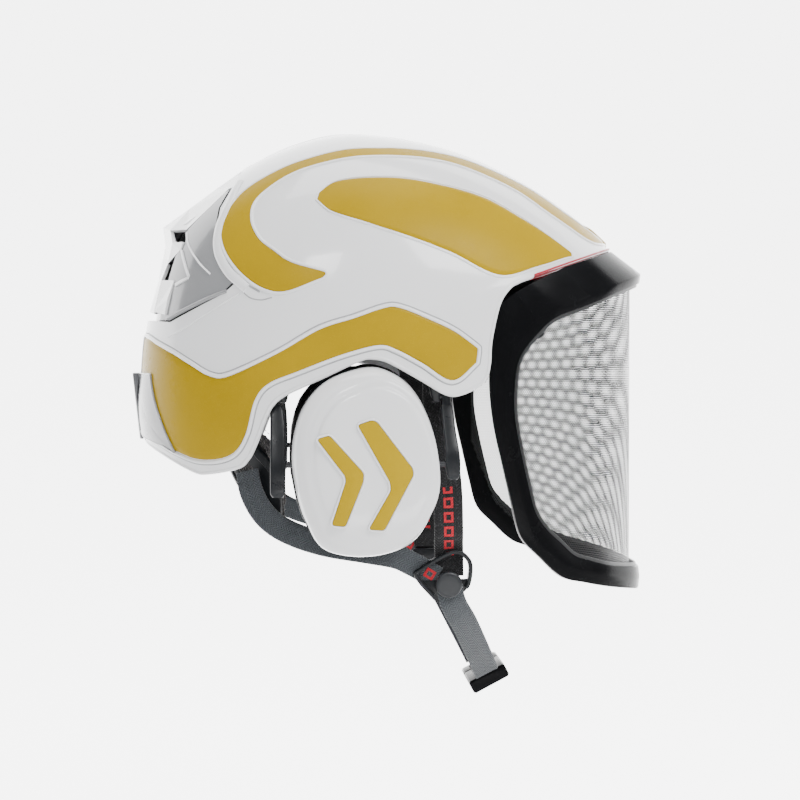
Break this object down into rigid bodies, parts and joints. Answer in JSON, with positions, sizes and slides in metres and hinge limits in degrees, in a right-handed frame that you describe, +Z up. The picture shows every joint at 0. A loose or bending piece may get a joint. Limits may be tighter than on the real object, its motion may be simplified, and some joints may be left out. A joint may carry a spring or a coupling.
{
  "type": "arborist helmet",
  "caption": "Tree climbing helmet with a lifting mesh visor, swinging ear muffs, a size knob and a forked chin harness.",
  "frame": {"origin": "centre of the headband ring, on the wearer's mid-plane, where the head sits", "axes": "+X forward, +Y to the wearer's left, +Z up"},
  "size_m": [0.317, 0.2548, 0.35],
  "materials": {
    "shell_white": "high gloss, fine scratches",
    "panel_gold": "satin, light grain",
    "vent_clear": "glossy, slightly translucent grey",
    "clip_grey": "satin",
    "frame_black": "semi-gloss moulded",
    "hardware_dark": "semi-gloss moulded, fine grain",
    "visor_screen": "perforated, black finish",
    "seal_red": "soft satin",
    "liner_foam": "matt beaded foam",
    "pad_fabric": "speckled knit over foam",
    "webbing_black": "woven webbing",
    "webbing_grey": "woven webbing",
    "cushion_black": "soft vinyl",
    "pin_steel": "brushed"
  },
  "bodies": {
    "helmet": {"outer_shell": "shell_white", "rear_vent_insert": "vent_clear", "crown_vent_strip": "vent_clear", "rear_clip": "clip_grey", "crown_stripe_r": "panel_gold", "crown_stripe_l": "panel_gold", "brow_panel_r": "panel_gold", "brow_panel_l": "panel_gold", "side_band_r": "panel_gold", "side_band_l": "panel_gold", "inner_liner": "liner_foam", "headband": "hardware_dark", "brow_pad": "pad_fabric", "crown_pad": "pad_fabric", "brow_seal": "seal_red", "visor_rail_r": "hardware_dark", "visor_rail_l": "hardware_dark", "muff_guide_r": "hardware_dark", "muff_guide_l": "hardware_dark", "strap_anchor_r": "hardware_dark", "strap_anchor_l": "hardware_dark", "front_strap_r": "webbing_black", "front_strap_l": "webbing_black", "strap_fork_r": "hardware_dark", "strap_fork_l": "hardware_dark", "rear_strap_r": "webbing_grey", "rear_strap_l": "webbing_grey", "chin_strap_r": "webbing_grey", "chin_buckle_socket": "frame_black"},
    "visor_arms": {"visor_arm_r": "frame_black", "visor_arm_l": "frame_black"},
    "visor": {"visor_frame": "frame_black", "visor_mesh": "visor_screen", "visor_bracket_r": "frame_black", "visor_bracket_l": "frame_black", "visor_pin_r": "pin_steel", "visor_pin_l": "pin_steel"},
    "nape": {"nape_cradle": "hardware_dark", "nape_pad": "pad_fabric"},
    "knob": {"size_knob": "hardware_dark"},
    "chin_release": {"chin_buckle_tongue": "frame_black", "chin_strap_l": "webbing_grey"},
    "muff_lift_r": {"muff_slider_r": "hardware_dark"},
    "yoke_r": {"yoke_leg_rear_r": "hardware_dark", "yoke_leg_front_r": "hardware_dark"},
    "muff_r": {"ear_cup_r": "shell_white", "ear_cushion_r": "cushion_black", "cup_foam_r": "liner_foam", "cup_chevron_rear_r": "panel_gold", "cup_chevron_front_r": "panel_gold"},
    "button_r": {"fork_button_r": "hardware_dark"},
    "muff_lift_l": {"muff_slider_l": "hardware_dark"},
    "yoke_l": {"yoke_leg_rear_l": "hardware_dark", "yoke_leg_front_l": "hardware_dark"},
    "muff_l": {"ear_cup_l": "shell_white", "ear_cushion_l": "cushion_black", "cup_foam_l": "liner_foam", "cup_chevron_rear_l": "panel_gold", "cup_chevron_front_l": "panel_gold"},
    "button_l": {"fork_button_l": "hardware_dark"}
  },
  "joints": [
    {"name": "visor_slide", "type": "slide", "parent": "helmet", "child": "visor_arms", "axis": [0.9976, 0, 0.0698], "range_m": [0, 0.0481]},
    {"name": "visor_tilt", "type": "hinge", "parent": "visor_arms", "child": "visor", "pos_m": [0.08, 0, 0.02], "axis": [0, -1, 0], "range_deg": [0, 75]},
    {"name": "muff_height_r", "type": "slide", "parent": "helmet", "child": "muff_lift_r", "axis": [0, 0, 1], "range_m": [-0.015, 0]},
    {"name": "muff_swing_r", "type": "hinge", "parent": "muff_lift_r", "child": "yoke_r", "pos_m": [-0.02, -0.0952, -0.0405], "axis": [-1, 0, 0], "range_deg": [0, 10], "stiffness_Nm_per_rad": 2, "springref_deg": -17.19},
    {"name": "cup_tilt_r", "type": "hinge", "parent": "yoke_r", "child": "muff_r", "pos_m": [-0.017, -0.104, -0.078], "axis": [1, 0, 0], "range_deg": [-8, 8]},
    {"name": "fork_press_r", "type": "slide", "parent": "helmet", "child": "button_r", "axis": [0, 1, 0], "range_m": [0, 0.0015], "stiffness_N_per_m": 800, "springref_m": -0.001},
    {"name": "muff_height_l", "type": "slide", "parent": "helmet", "child": "muff_lift_l", "axis": [0, 0, 1], "range_m": [-0.015, 0]},
    {"name": "muff_swing_l", "type": "hinge", "parent": "muff_lift_l", "child": "yoke_l", "pos_m": [-0.02, 0.0952, -0.0405], "axis": [1, 0, 0], "range_deg": [0, 10], "stiffness_Nm_per_rad": 2, "springref_deg": -17.19},
    {"name": "cup_tilt_l", "type": "hinge", "parent": "yoke_l", "child": "muff_l", "pos_m": [-0.017, 0.104, -0.078], "axis": [-1, 0, 0], "range_deg": [-8, 8]},
    {"name": "fork_press_l", "type": "slide", "parent": "helmet", "child": "button_l", "axis": [0, -1, 0], "range_m": [0, 0.0015], "stiffness_N_per_m": 800, "springref_m": -0.001},
    {"name": "nape_slide", "type": "slide", "parent": "helmet", "child": "nape", "axis": [1, 0, 0], "range_m": [0, 0.008]},
    {"name": "knob_turn", "type": "hinge", "parent": "nape", "child": "knob", "pos_m": [-0.108, 0, -0.062], "axis": [1, 0, 0], "range_deg": [0, 270]},
    {"name": "buckle_release", "type": "slide", "parent": "helmet", "child": "chin_release", "axis": [0, 1, 0], "range_m": [0, 0.02]}
  ],
  "couplings": [
    {"joint": "visor_slide", "follows": "visor_tilt", "m_per_rad": 0.03667},
    {"joint": "knob_turn", "follows": "nape_slide", "rad_per_m": 588}
  ]
}
